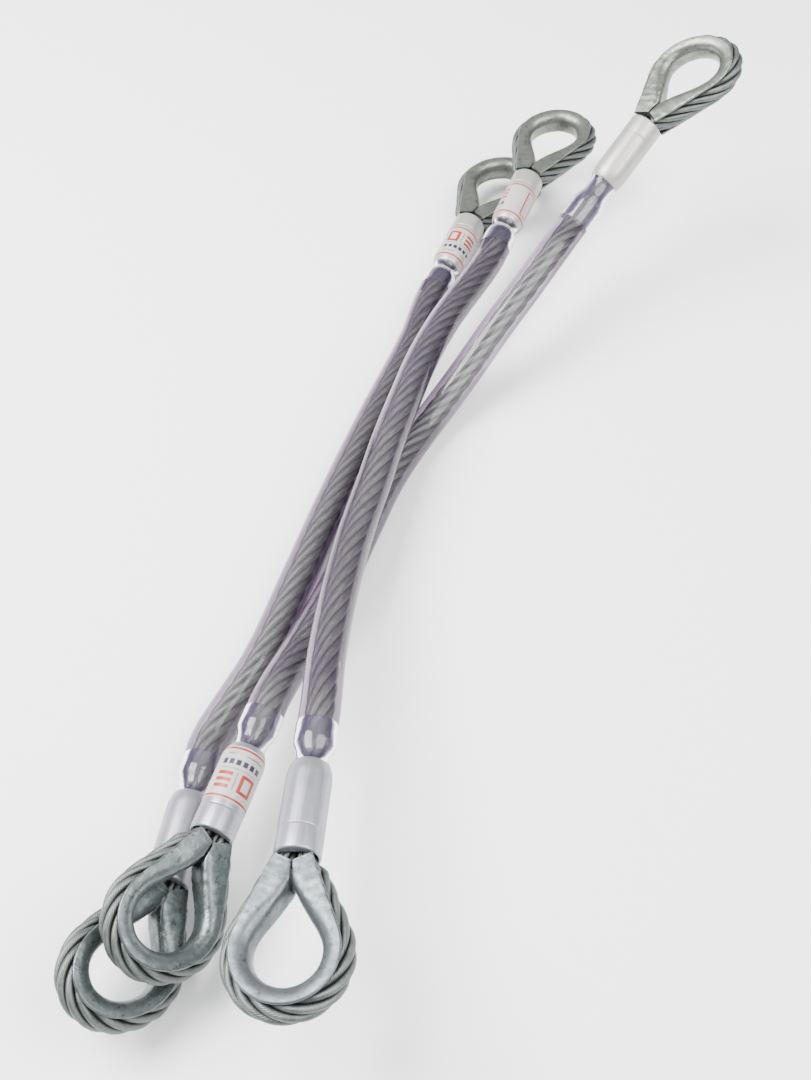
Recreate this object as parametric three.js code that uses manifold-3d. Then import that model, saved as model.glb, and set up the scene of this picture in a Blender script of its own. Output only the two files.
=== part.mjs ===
// A set of three short wire rope slings lying loosely across each other.
// Each sling is a steel rope with a pressed ferrule, a thimble and an eye at both ends,
// and a clear sleeve with end collars over its middle.
// Millimetres, +Z up. The set rests on the plane z = 0, with the origin under its middle.

import * as THREE from 'three';
import { mergeVertices } from 'three/addons/utils/BufferGeometryUtils.js';
import Module from 'manifold-3d';

const wasm = await Module();
wasm.setup();

// ---- driving dimensions -------------------------------------------------------------

const ROPE_RADIUS = 4.5;
const SLEEVE_RADIUS = 7.9;
const SLEEVE_BORE_RADIUS = 5.6;
const COLLAR_RADIUS = 8.4;
const COLLAR_NECK_RADIUS = 6;
const COLLAR_BORE_RADIUS = 5.3;

const FERRULE_LENGTH = 37;
const FERRULE_RADIUS = 8.5;
const FERRULE_MOUTH_RADIUS = 7.3;
const FERRULE_TAPER = 5;
const FERRULE_CHAMFER = 0.6;
const BORE_HALF_WIDTH = 7.25;
const BORE_HALF_HEIGHT = 4.5;
const MOUTH_BORE_RADIUS = 5.6;
const MOUTH_BORE_DEPTH = 6.5;

const EYE_CENTRE = FERRULE_LENGTH + 34.8;   // along the sling axis, from the ferrule's mouth
const EYE_ROPE_RADIUS = 18.5;               // centre line of the rope round the eye
const LEG_SPREAD = 4.75;                    // half the distance between the two rope legs
const PRESSED_WIDTH = 0.74;                 // how far the ferrule squeezes the two legs
const PRESSED_HEIGHT = 0.88;
const DEAD_LEG_END = 14;                    // from the mouth to the cut end in the ferrule
const GRIP_BACK = 9;                        // the legs run straight this far into the ferrule
const GRIP_END = [1, 6];                    // past the ferrule, where the squeeze dies out
const LEG_POINTS = [8, 15.5];               // past the ferrule, along a straight leg
const LEG_INSET = 0.25;
const THIMBLE_START = FERRULE_LENGTH + 4.6;
const THIMBLE_CORNER = [[0, 2.4], [1.2, 1], [3.4, 0]];  // in from the cheek, up from the eye
const THIMBLE_HALF_THICKNESS = 6.5;
const THIMBLE_DEPTH = 6.6;                 // from the rope's centre line in towards the eye
const THIMBLE_LIP = 0.6;                   // from the rope's centre line outwards
const GROOVE_GAP = 0.65;

const TO_CENTRE = EYE_CENTRE - FERRULE_LENGTH;
const EYE_SLOPE = Math.asin(EYE_ROPE_RADIUS / Math.hypot(TO_CENTRE, LEG_SPREAD))
  - Math.atan2(LEG_SPREAD, TO_CENTRE);      // angle between a straight leg and the axis

const NECK_PIVOT = 5;                       // from the ferrule's mouth back along the rope
const ROPE_JOINT_GAP = 1.1;                 // each side of a bend
const SLEEVE_JOINT_GAP = 2;
const COLLAR_END = 8.5;                     // from the ferrule's mouth back to the collar
const LOWER_COLLAR_LENGTH = 4;
const UPPER_COLLAR_LENGTH = 8;
const NECK_STRAIGHT = [13, 26];             // the rope runs straight back from the mouth
const MOUTH_LEG = [                         // the live leg comes in on the axis, then spreads
  [-NECK_PIVOT + ROPE_JOINT_GAP, 0.2], [1, 0.9], [MOUTH_BORE_DEPTH, 2.7],
  [DEAD_LEG_END - 0.5, LEG_SPREAD],
];
const TOUCH_GAP = 0.3;
const SLEEVE_END_GAP = 0.5;

const LABEL_START = 6.5;                    // from the ferrule's mouth
const LABEL_LENGTH = 22;
const LABEL_THICKNESS = 0.3;

const ROPE_SIDES = 8;
const EYE_ROPE_SIDES = 8;
const EYE_ROPE_STEPS = 40;
const EYE_HALF_STEPS = 8;
const GROOVE_STEPS = 5;
const SLEEVE_SIDES = 12;
const ROUND_SIDES = 16;
const THIMBLE_STEPS = 18;
const ROPE_STEP = 12;
const SLEEVE_STEP = 14;

// ---- the three slings ---------------------------------------------------------------
// An end is placed by its ferrule's mouth, the heading of its axis in plan (degrees from
// +X), how far it climbs (tilt) and how far its eye is rolled about the axis. Past the
// ferrule the eye leans sideways by its cant, a share of the distance. The route is the
// rope's centre line between the two necks. bend is where the long part flexes,
// as a share of the route's length.

const SLINGS = [
  {
    name: 'a',
    lower: { mouth: [-107.7, -155.7, 10.2], heading: -98.7, tilt: 4.6, roll: -35, cant: -0.2 },
    upper: { mouth: [-3.0, 150.8, 9.7], heading: 68.2, tilt: 2.8, roll: 0, cant: -0.15 },
    route: [
      [-85.8, -91.7, 8], [-72.3, -50.6, 8], [-58, -5.5, 8], [-40.8, 44.1, 8],
      [-20.3, 99, 8],
    ],
    bend: 0.42,
    label: 'upper',
  },
  {
    name: 'b',
    lower: { mouth: [-85.6, -143, 24.2], heading: -107.1, tilt: 2, roll: -35, cant: -0.1 },
    upper: { mouth: [75.2, 156.4, 61], heading: 48, tilt: 27, roll: -9, cant: -0.13 },
    route: [
      [-66.8, -87.1, 14.8], [-54.2, -54, 9.8], [-42.8, -20.4, 8.1], [-32.8, 6, 8.2],
      [-21, 29.5, 8.2], [-7.8, 50.2, 10.8], [6, 68.2, 18.6], [19.4, 85, 28.5],
      [34.4, 103.4, 38], [48.9, 122.6, 46],
    ],
    bend: 0.47,
    label: 'lower',
  },
  {
    name: 'c',
    lower: { mouth: [-58.9, -160.9, 47], heading: -94.8, tilt: 6.1, roll: 10, cant: 0.06 },
    upper: { mouth: [28.4, 166.9, 25], heading: 68, tilt: 5.6, roll: -4, cant: -0.1 },
    route: [
      [-55.8, -110, 38.6], [-53.8, -88.6, 35], [-50.8, -66.3, 31.6],
      [-46.5, -41.4, 28.6], [-39, -11.4, 27.2], [-32.5, 14.5, 27.2], [-25, 40, 27],
      [-16.6, 66.8, 26.4], [-4.9, 95.6, 25.2],
    ],
    bend: 0.52,
    label: 'upper',
  },
];

// ---- finishes -----------------------------------------------------------------------

const finish = (color, roughness, metalness, extra = {}) =>
  () => new THREE.MeshStandardMaterial({ color, roughness, metalness, ...extra });

const steelRope = finish(0x8a8f8c, 0.42, 0.85);
const zincThimble = finish(0x9da3a4, 0.48, 0.8);
const aluminium = finish(0xc2c3c4, 0.38, 0.85);
const clearSleeve = finish(0xb9a9bd, 0.25, 0, { transparent: true, opacity: 0.5 });
const clearCollar = finish(0xa99fc0, 0.25, 0, { transparent: true, opacity: 0.5 });
const paperLabel = finish(0xd9d3cd, 0.5, 0);

// ---- geometry helpers ---------------------------------------------------------------

const vector = ([x, y, z]) => new THREE.Vector3(x, y, z);

/** The stretch of a longer curve between two distances along it. */
class Stretch extends THREE.Curve {
  constructor(whole, from, to) {
    super();
    this.whole = whole;
    this.from = from / whole.getLength();
    this.to = to / whole.getLength();
  }

  getPoint(t, target = new THREE.Vector3()) {
    return this.whole.getPointAt(THREE.MathUtils.lerp(this.from, this.to, t), target);
  }
}

/** A closed outline with the given number of sides, its flats on the true radius. */
function roundOutline(radius, sides, Kind = THREE.Shape) {
  const outline = new Kind();
  const points = [];
  for (let i = 0; i < sides; i += 1) {
    const angle = (2 * Math.PI * i) / sides;
    points.push(new THREE.Vector2(radius * Math.cos(angle), radius * Math.sin(angle)));
  }
  return outline.setFromPoints(points);
}

function sweep(section, curve, steps) {
  return new THREE.ExtrudeGeometry(section, { steps, curveSegments: 1, extrudePath: curve });
}

function sweptRope(curve, sides, step) {
  const steps = Math.max(2, Math.round(curve.getLength() / step));
  return sweep(roundOutline(ROPE_RADIUS, sides), curve, steps);
}

function sweptSleeve(curve) {
  const ring = roundOutline(SLEEVE_RADIUS, SLEEVE_SIDES);
  ring.holes.push(roundOutline(SLEEVE_BORE_RADIUS, SLEEVE_SIDES, THREE.Path));
  return sweep(ring, curve, Math.max(3, Math.round(curve.getLength() / SLEEVE_STEP)));
}

/** Turns a profile of [distance along, radius] pairs into a solid about the X axis. */
function turned(profile, sides = ROUND_SIDES) {
  const points = profile.map(([along, radius]) => new THREE.Vector2(radius, along));
  return new THREE.LatheGeometry(points, sides).rotateZ(-Math.PI / 2);
}

function toManifold(geometry) {
  const bare = geometry.index ? geometry.toNonIndexed() : geometry.clone();
  bare.deleteAttribute('normal');
  bare.deleteAttribute('uv');
  const merged = mergeVertices(bare, 1e-4);
  return new wasm.Manifold(new wasm.Mesh({
    numProp: 3,
    vertProperties: new Float32Array(merged.attributes.position.array),
    triVerts: new Uint32Array(merged.index.array),
  }));
}

function fromManifold(solid) {
  const mesh = solid.getMesh();
  const geometry = new THREE.BufferGeometry();
  geometry.setAttribute('position', new THREE.BufferAttribute(mesh.vertProperties, 3));
  geometry.setIndex(new THREE.BufferAttribute(mesh.triVerts, 1));
  geometry.computeVertexNormals();
  return geometry;
}

// ---- pieces of an end, in the end's own frame ---------------------------------------
// The origin is the middle of the ferrule's mouth, +X runs to the eye and +Z is across
// the thimble's thickness.

/** Points of the rounded part of the eye, from the +Y side to the -Y side. */
function eyeArc() {
  const half = Math.PI / 2 + EYE_SLOPE;
  const points = [];
  for (let step = 0; step <= 2 * EYE_HALF_STEPS; step += 1) {
    const angle = half * (1 - step / EYE_HALF_STEPS);
    points.push(new THREE.Vector3(
      EYE_CENTRE + EYE_ROPE_RADIUS * Math.cos(angle), EYE_ROPE_RADIUS * Math.sin(angle), 0));
  }
  return points;
}

/** A point on the straight part of a leg, at a distance from the ferrule. */
function legPoint(side, along, inset = 0) {
  const rise = LEG_SPREAD + along * Math.tan(EYE_SLOPE) - inset;
  return new THREE.Vector3(FERRULE_LENGTH + along, side * rise, 0);
}

/** Leans everything past the ferrule to one side. */
function leaned(geometry, cant) {
  const place = geometry.attributes.position;
  for (let i = 0; i < place.count; i += 1) {
    place.setY(i, place.getY(i) + cant * Math.max(0, place.getX(i) - FERRULE_LENGTH));
  }
  geometry.computeVertexNormals();
  return geometry;
}

function eyeRope(cant) {
  const leg = (side) => LEG_POINTS.map((along) => legPoint(side, along, LEG_INSET));
  const inside = (side, along) => new THREE.Vector3(along, side * LEG_SPREAD, 0);
  const gripped = (side) => [
    inside(side, FERRULE_LENGTH), inside(side, FERRULE_LENGTH - GRIP_BACK)];
  const curve = new THREE.CatmullRomCurve3([
    ...MOUTH_LEG.map(([along, off]) => new THREE.Vector3(along, off, 0)),
    ...gripped(1).reverse(),
    ...leg(1),
    ...eyeArc(),
    ...leg(-1).reverse(),
    ...gripped(-1),
    inside(-1, DEAD_LEG_END),
  ], false, 'centripetal');
  const geometry = sweep(roundOutline(ROPE_RADIUS, EYE_ROPE_SIDES), curve, EYE_ROPE_STEPS);
  const place = geometry.attributes.position;
  for (let i = 0; i < place.count; i += 1) {
    const free = THREE.MathUtils.smoothstep(
      place.getX(i), FERRULE_LENGTH + GRIP_END[0], FERRULE_LENGTH + GRIP_END[1]);
    place.setY(i, place.getY(i) * THREE.MathUtils.lerp(PRESSED_WIDTH, 1, free));
    place.setZ(i, place.getZ(i) * THREE.MathUtils.lerp(PRESSED_HEIGHT, 1, free));
  }
  return leaned(geometry, cant);
}

/** A channel section bent round the eye: flat cheeks outside, a round groove for the rope. */
function thimble(cant) {
  const arc = eyeArc();
  const start = (side) => legPoint(side, THIMBLE_START - FERRULE_LENGTH);
  const between = (side) => start(side).lerp(
    new THREE.Vector3(arc[0].x, side * arc[0].y, 0), 0.5);
  const curve = new THREE.CatmullRomCurve3(
    [start(1), between(1), ...arc, between(-1), start(-1)], false, 'centripetal');
  const groove = ROPE_RADIUS + GROOVE_GAP;
  const half = THIMBLE_HALF_THICKNESS;
  // Across the channel: first is its thickness, second is the way out from the eye.
  const corner = THIMBLE_CORNER.map(([inwards, up]) => [half - inwards, up - THIMBLE_DEPTH]);
  const outline = [
    [half, THIMBLE_LIP], ...corner,
    ...corner.map(([across, out]) => [-across, out]).reverse(),
    [-half, THIMBLE_LIP], [-groove, THIMBLE_LIP],
  ];
  for (let step = 0; step <= GROOVE_STEPS; step += 1) {
    const angle = Math.PI + (Math.PI * step) / GROOVE_STEPS;
    outline.push([groove * Math.cos(angle), groove * Math.sin(angle)]);
  }
  outline.push([groove, THIMBLE_LIP]);
  const section = new THREE.Shape().setFromPoints(
    outline.map(([across, out]) => new THREE.Vector2(across, out)));
  return leaned(sweep(section, curve, THIMBLE_STEPS), cant);
}

/** A pressed ferrule: round outside, with a flat-sided bore for the two rope legs. */
function ferrule() {
  const body = toManifold(turned([
    [0, 0], [0, FERRULE_MOUTH_RADIUS], [FERRULE_TAPER, FERRULE_RADIUS],
    [FERRULE_LENGTH - FERRULE_CHAMFER, FERRULE_RADIUS],
    [FERRULE_LENGTH, FERRULE_RADIUS - FERRULE_CHAMFER], [FERRULE_LENGTH, 0],
  ]));
  const slot = new THREE.Shape();
  const flat = BORE_HALF_WIDTH - BORE_HALF_HEIGHT;
  slot.moveTo(-BORE_HALF_HEIGHT, -flat);
  slot.absarc(0, -flat, BORE_HALF_HEIGHT, Math.PI, 2 * Math.PI);
  slot.absarc(0, flat, BORE_HALF_HEIGHT, 0, Math.PI);
  const straight = (from, to) => new THREE.LineCurve3(
    new THREE.Vector3(from, 0, 0), new THREE.Vector3(to, 0, 0));
  const legs = new THREE.ExtrudeGeometry(slot, {
    steps: 1, curveSegments: 6,
    extrudePath: straight(MOUTH_BORE_DEPTH, FERRULE_LENGTH + 5),
  });
  const mouth = sweep(
    roundOutline(MOUTH_BORE_RADIUS, 16), straight(-5, MOUTH_BORE_DEPTH + 0.5), 1);
  return fromManifold(body.subtract(toManifold(legs)).subtract(toManifold(mouth)));
}

/** A short clear cone from the sleeve's end down to the rope. */
function collar(length) {
  const from = -COLLAR_END - length;
  return turned([
    [from, COLLAR_BORE_RADIUS], [from, COLLAR_RADIUS], [from + 1.2, COLLAR_RADIUS],
    [-COLLAR_END, COLLAR_NECK_RADIUS], [-COLLAR_END, COLLAR_BORE_RADIUS],
    [from, COLLAR_BORE_RADIUS],
  ]);
}

function label() {
  const inner = FERRULE_RADIUS + TOUCH_GAP;
  const outer = inner + LABEL_THICKNESS;
  const to = LABEL_START + LABEL_LENGTH;
  return turned([
    [LABEL_START, inner], [LABEL_START, outer], [to, outer], [to, inner],
    [LABEL_START, inner],
  ]);
}

// ---- assembly -----------------------------------------------------------------------

function part(name, geometry, material) {
  const mesh = new THREE.Mesh(geometry, material());
  mesh.name = name;
  return mesh;
}

/** A group standing in the end's own frame. */
function endFrame(end) {
  const frame = new THREE.Group();
  const radians = THREE.MathUtils.degToRad;
  frame.position.set(...end.mouth);
  frame.rotation.set(radians(end.roll), -radians(end.tilt), radians(end.heading), 'ZYX');
  frame.updateMatrix();
  return frame;
}

function buildEnd(sling, which, collarLength) {
  const frame = endFrame(sling[which]);
  const name = (piece) => `${sling.name}_${which}_${piece}`;
  frame.add(part(name('ferrule'), ferrule(), aluminium));
  frame.add(part(name('eye_rope'), eyeRope(sling[which].cant), steelRope));
  frame.add(part(name('thimble'), thimble(sling[which].cant), zincThimble));
  frame.add(part(name('collar'), collar(collarLength), clearCollar));
  if (sling.label === which) {
    frame.add(part(`${sling.name}_label`, label(), paperLabel));
  }
  return frame;
}

/** Centre line of the rope from neck pivot to neck pivot. */
function ropeLine(sling) {
  const onAxis = (end, back) => new THREE.Vector3(-back, 0, 0).applyMatrix4(endFrame(end).matrix);
  return new THREE.CatmullRomCurve3([
    onAxis(sling.lower, NECK_PIVOT),
    ...NECK_STRAIGHT.map((back) => onAxis(sling.lower, back)),
    ...sling.route.map(vector),
    ...NECK_STRAIGHT.map((back) => onAxis(sling.upper, back)).reverse(),
    onAxis(sling.upper, NECK_PIVOT),
  ], false, 'centripetal');
}

function buildLongPart(sling) {
  const line = ropeLine(sling);
  const length = line.getLength();
  const bend = sling.bend * length;
  const sleeveFrom = COLLAR_END - NECK_PIVOT + LOWER_COLLAR_LENGTH + SLEEVE_END_GAP;
  const sleeveTo = length - (COLLAR_END - NECK_PIVOT + UPPER_COLLAR_LENGTH + SLEEVE_END_GAP);
  const ropes = {
    lower: new Stretch(line, ROPE_JOINT_GAP, bend - ROPE_JOINT_GAP),
    upper: new Stretch(line, bend + ROPE_JOINT_GAP, length - ROPE_JOINT_GAP),
  };
  const sleeves = {
    lower: new Stretch(line, sleeveFrom, bend - SLEEVE_JOINT_GAP),
    upper: new Stretch(line, bend + SLEEVE_JOINT_GAP, sleeveTo),
  };
  const whole = new THREE.Group();
  for (const half of ['lower', 'upper']) {
    const name = `${sling.name}_${half}`;
    whole.add(part(`${name}_rope`, sweptRope(ropes[half], ROPE_SIDES, ROPE_STEP), steelRope));
    whole.add(part(`${name}_sleeve`, sweptSleeve(sleeves[half]), clearSleeve));
  }
  return whole;
}

const group = new THREE.Group();
for (const sling of SLINGS) {
  group.add(buildEnd(sling, 'lower', LOWER_COLLAR_LENGTH));
  group.add(buildLongPart(sling));
  group.add(buildEnd(sling, 'upper', UPPER_COLLAR_LENGTH));
}

export default group;
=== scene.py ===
"""Three short wire rope slings lying loosely across each other.

Each sling is a steel rope with a pressed ferrule, a thimble and an eye at both
ends, and a clear sleeve with shrunk collars over its middle. Lengths in the
classes are millimetres; meshes are written in metres.
"""

import logging
import math
from dataclasses import dataclass, field
from enum import Enum
from functools import cached_property

import bpy
import numpy as np
from mathutils import Euler, Matrix, Vector, noise


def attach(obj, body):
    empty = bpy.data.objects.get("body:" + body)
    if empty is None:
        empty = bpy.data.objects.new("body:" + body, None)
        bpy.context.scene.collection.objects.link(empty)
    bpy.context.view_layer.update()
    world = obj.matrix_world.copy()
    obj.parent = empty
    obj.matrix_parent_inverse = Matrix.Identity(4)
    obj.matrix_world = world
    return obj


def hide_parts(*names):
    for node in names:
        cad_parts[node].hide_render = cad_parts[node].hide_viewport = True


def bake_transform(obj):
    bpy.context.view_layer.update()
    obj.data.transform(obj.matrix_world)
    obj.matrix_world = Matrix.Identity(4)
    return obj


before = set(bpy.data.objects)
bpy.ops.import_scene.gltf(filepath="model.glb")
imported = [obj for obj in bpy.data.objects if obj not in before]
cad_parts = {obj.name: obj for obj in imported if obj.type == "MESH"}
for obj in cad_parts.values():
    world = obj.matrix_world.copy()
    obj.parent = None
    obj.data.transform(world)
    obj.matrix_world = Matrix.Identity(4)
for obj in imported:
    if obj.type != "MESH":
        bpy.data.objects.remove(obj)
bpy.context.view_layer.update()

log = logging.getLogger("slings")

MM = 0.001
UV_NAME = "lay"
Point = tuple[float, float, float]
Piece = bpy.types.Object
Tree = bpy.types.NodeTree
Socket = bpy.types.NodeSocket
Inputs = bpy.types.NodeInputs
Outputs = bpy.types.NodeOutputs


class Which(Enum):
    """The two ends of a sling."""

    LOWER = "lower"
    UPPER = "upper"


# ---- curves and meshes ---------------------------------------------------------------


def smoothstep(values: np.ndarray, low: float, high: float) -> np.ndarray:
    """Rises smoothly from 0 at low to 1 at high.

    Args:
        values: Numbers to weigh.
        low: Where the rise starts.
        high: Where the rise ends.

    Returns:
        A weight from 0 to 1 for each value.
    """
    share = np.clip((values - low) / (high - low), 0.0, 1.0)
    return share * share * (3.0 - 2.0 * share)


def spline(points: np.ndarray, step: float) -> np.ndarray:
    """Samples a centripetal Catmull-Rom curve.

    Args:
        points: The points that the curve passes through.
        step: Rough distance between samples.

    Returns:
        Samples along the curve, the end points among them.
    """
    first = 2 * points[0] - points[1]
    last = 2 * points[-1] - points[-2]
    whole = np.vstack([first, points, last])
    samples = [points[:1]]
    for p0, p1, p2, p3 in zip(whole, whole[1:], whole[2:], whole[3:]):
        gaps = [math.sqrt(np.linalg.norm(b - a)) for a, b in ((p0, p1), (p1, p2), (p2, p3))]
        leave = ((p1 - p0) / gaps[0] - (p2 - p0) / (gaps[0] + gaps[1]) + (p2 - p1) / gaps[1])
        arrive = ((p2 - p1) / gaps[1] - (p3 - p1) / (gaps[1] + gaps[2]) + (p3 - p2) / gaps[2])
        leave, arrive = leave * gaps[1], arrive * gaps[1]
        count = max(2, int(np.linalg.norm(p2 - p1) / step))
        t = (np.arange(count) + 1)[:, None] / count
        samples.append(
            (2 * t**3 - 3 * t**2 + 1) * p1
            + (t**3 - 2 * t**2 + t) * leave
            + (3 * t**2 - 2 * t**3) * p2
            + (t**3 - t**2) * arrive
        )
    return np.vstack(samples)


def running_length(points: np.ndarray) -> np.ndarray:
    """Distance of each point from the first, along the points."""
    return np.concatenate([[0.0], np.cumsum(np.linalg.norm(np.diff(points, axis=0), axis=1))])


def circle(sides: int, start: float = 0.0) -> np.ndarray:
    """Angles of the points of a round, the first at a start in degrees."""
    return math.radians(start) + np.arange(sides) / sides * 2 * math.pi


class Line:
    """A centre line with a frame that turns with it but never twists."""

    def __init__(self, points: np.ndarray) -> None:
        """Measures the line and carries a frame along it.

        Args:
            points: Samples along the line, close together.
        """
        self.points = points
        self.along = running_length(points)
        tangents = np.gradient(points, self.along, axis=0)
        self.tangents = tangents / np.linalg.norm(tangents, axis=1)[:, None]
        normal = np.cross(self.tangents[0], (0.0, 0.0, 1.0))
        normals = []
        for tangent in self.tangents:
            normal = normal - tangent * (normal @ tangent)
            normal = normal / np.linalg.norm(normal)
            normals.append(normal)
        self.normals = np.array(normals)

    @property
    def length(self) -> float:
        """Length of the whole line."""
        return float(self.along[-1])

    def _at(self, table: np.ndarray, stations: np.ndarray) -> np.ndarray:
        """Values of a table along the line at the given stations."""
        return np.stack([np.interp(stations, self.along, table[:, k]) for k in range(3)], axis=1)

    def centres(self, stations: np.ndarray) -> np.ndarray:
        """Points on the line at the given distances along it."""
        return self._at(self.points, stations)

    def frame(self, stations: np.ndarray) -> tuple[np.ndarray, np.ndarray]:
        """Points and directions at the given distances along the line."""
        return self.centres(stations), self._at(self.tangents, stations)

    def rings(self, stations: np.ndarray, radii: np.ndarray, angles: np.ndarray) -> np.ndarray:
        """Rings of points round the line.

        Args:
            stations: Distance along the line of each ring.
            radii: Radius of each point, per ring.
            angles: Angle of each point about the line, per ring.

        Returns:
            Points, ring by ring.
        """
        centre, tangent = self.frame(stations)
        normal = self._at(self.normals, stations)
        side = np.cross(tangent, normal)
        across = (radii * np.cos(angles))[..., None] * normal[:, None]
        return centre[:, None] + across + (radii * np.sin(angles))[..., None] * side[:, None]


@dataclass
class Skin:
    """A grid of points, closed round each ring, to be made into a closed mesh.

    Attributes:
        name: Name of the piece.
        rings: Points in millimetres, ring by ring.
        along: The v coordinate of each ring.
        around: The u coordinate of each point and of the closing one, else 0 to 1.
        looped: True where the last ring joins the first, else both ends are capped.
        crease: Edges sharper than this many degrees stay crisp.
    """

    name: str
    rings: np.ndarray
    along: np.ndarray
    around: np.ndarray | None = None
    looped: bool = False
    crease: float = 40.0

    def build(self) -> Piece:
        """Makes the mesh and links it to the scene.

        Returns:
            The piece.
        """
        count, sides = self.rings.shape[:2]
        spans = count if self.looped else count - 1
        ring, side = np.meshgrid(np.arange(spans), np.arange(sides), indexing="ij")
        nxt, turn = (ring + 1) % count, (side + 1) % sides
        square = ((ring, side), (ring, turn), (nxt, turn), (nxt, side))
        quads = np.stack([r * sides + s for r, s in square], axis=-1).reshape(-1, 4)
        around = np.arange(sides + 1) / sides if self.around is None else self.around
        u = np.broadcast_to(around, (count, sides + 1))
        v = np.broadcast_to(self.along.reshape(count, -1), (count, sides + 1))
        last = nxt if self.looped else ring + 1
        corners = [(ring, side), (ring, side + 1), (last, side + 1), (last, side)]
        coords = np.stack([np.stack([u[r, s], v[r, s]], axis=-1) for r, s in corners], axis=-2)
        coords = coords.reshape(-1, 2)
        points = self.rings.reshape(-1, 3)
        faces = quads.tolist()
        if not self.looped:
            middles = self.rings[[0, -1]].mean(axis=1)
            points = np.vstack([points, middles])
            low, high, base = count * sides, count * sides + 1, (count - 1) * sides
            for s in range(sides):
                t = (s + 1) % sides
                faces += [[low, t, s], [high, base + s, base + t]]
            coords = np.vstack([coords, np.zeros((sides * 6, 2))])
        mesh = bpy.data.meshes.new(self.name)
        mesh.from_pydata((points * MM).tolist(), [], faces)
        layer = mesh.uv_layers.new(name=UV_NAME)
        layer.data.foreach_set("uv", coords.astype(np.float32).ravel())
        mesh.polygons.foreach_set("use_smooth", [True] * len(mesh.polygons))
        mesh.set_sharp_from_angle(angle=math.radians(self.crease))
        mesh.update()
        piece = bpy.data.objects.new(self.name, mesh)
        bpy.context.scene.collection.objects.link(piece)
        return piece


# ---- finishes ------------------------------------------------------------------------

Colour = tuple[float, float, float]
Value = float | tuple | Socket
Surface = tuple[Value, Value, Value, float]
Box = tuple[float, float, float, float]


def shade(colour: Colour, factor: float = 1.0) -> tuple[float, ...]:
    """A colour made lighter or darker, with full alpha."""
    return (*(min(1.0, channel * factor) for channel in colour), 1.0)


class Sketch:
    """A node tree with short ways to add nodes and join them."""

    def __init__(self, tree: Tree) -> None:
        """Keeps the tree that the nodes go into."""
        self.tree = tree

    def feed(self, socket: Socket, value: Value) -> None:
        """Sets a socket to a value, or joins another socket to it.

        Args:
            socket: The socket that is fed.
            value: The value, or the socket to join.
        """
        if isinstance(value, Socket):
            self.tree.links.new(value, socket)
        else:
            socket.default_value = value

    def add(
        self, kind: str, values: dict[str | int, Value] | None = None, **settings: object
    ) -> bpy.types.Node:
        """Adds a node.

        Args:
            kind: The node's type.
            values: What each input gets, by name or number.
            settings: Attributes of the node.

        Returns:
            The node.
        """
        node = self.tree.nodes.new(kind)
        for key, value in settings.items():
            setattr(node, key, value)
        for key, value in (values or {}).items():
            self.feed(node.inputs[key], value)
        return node

    def math(self, operation: str, first: Value, second: Value = 0.0) -> Socket:
        """Adds a Math node and gives its result."""
        return self.add("ShaderNodeMath", {0: first, 1: second}, operation=operation).outputs[0]

    def ramp(
        self, value: Value, low: Value, high: Value, floor: float = 0.0, top: float = 1.0
    ) -> Socket:
        """Maps a value from low..high to floor..top, smoothly and held at both ends.

        Args:
            value: What is mapped.
            low: Value that gives the floor.
            high: Value that gives the top.
            floor: Lowest result.
            top: Highest result.

        Returns:
            The result.
        """
        inputs = {"Value": value, "From Min": low, "From Max": high, "To Min": floor, "To Max": top}
        node = self.add("ShaderNodeMapRange", inputs, interpolation_type="SMOOTHSTEP")
        return node.outputs["Result"]

    def vary(self, height: Value, floor: float, top: float) -> Socket:
        """Spreads the middle of a noise over floor..top."""
        return self.ramp(height, 0.3, 0.7, floor, top)

    def mix(self, share: Value, first: Value, second: Value) -> Socket:
        """Mixes two colours."""
        node = self.add("ShaderNodeMix", {0: share, 6: first, 7: second}, data_type="RGBA")
        return node.outputs[2]

    def noise(self, vector: Value, scale: Value, detail: float = 3.0) -> Socket:
        """Adds a noise and gives its value."""
        inputs = {"Vector": vector, "Scale": scale, "Detail": detail}
        return self.add("ShaderNodeTexNoise", inputs).outputs["Fac"]

    @cached_property
    def lay(self) -> tuple[Socket, Socket]:
        """The coordinates round and along the piece."""
        node = self.add("ShaderNodeUVMap", uv_map=UV_NAME)
        split = self.add("ShaderNodeSeparateXYZ", {0: node.outputs["UV"]})
        return split.outputs[0], split.outputs[1]

    @cached_property
    def place(self) -> Socket:
        """The coordinates of the piece in its own space."""
        return self.add("ShaderNodeTexCoord").outputs["Object"]

    def group(self, tree: Tree, values: dict[str, Value]) -> Outputs:
        """Places a shared effect with its own values.

        Args:
            tree: The effect.
            values: What each of its inputs gets.

        Returns:
            What it puts out.
        """
        node = self.add("ShaderNodeGroup", node_tree=tree)
        for key, value in values.items():
            self.feed(node.inputs[key], value)
        return node.outputs

    def mottle(self, size: float, sharpness: float) -> Outputs:
        """Places soft patches of a given fineness."""
        values = {"Vector": self.place, "Size": size, "Sharpness": sharpness}
        return self.group(EFFECTS.mottle, values)

    def scratches(self, fine: float, drawn: float) -> Outputs:
        """Places marks drawn out along the piece.

        Args:
            fine: How narrow the marks are.
            drawn: How often they break along the piece.

        Returns:
            What the effect puts out.
        """
        around, along = self.lay
        values = {"Around": around, "Along": along, "Fine": fine, "Drawn": drawn}
        return self.group(EFFECTS.scratches, values)


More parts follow.
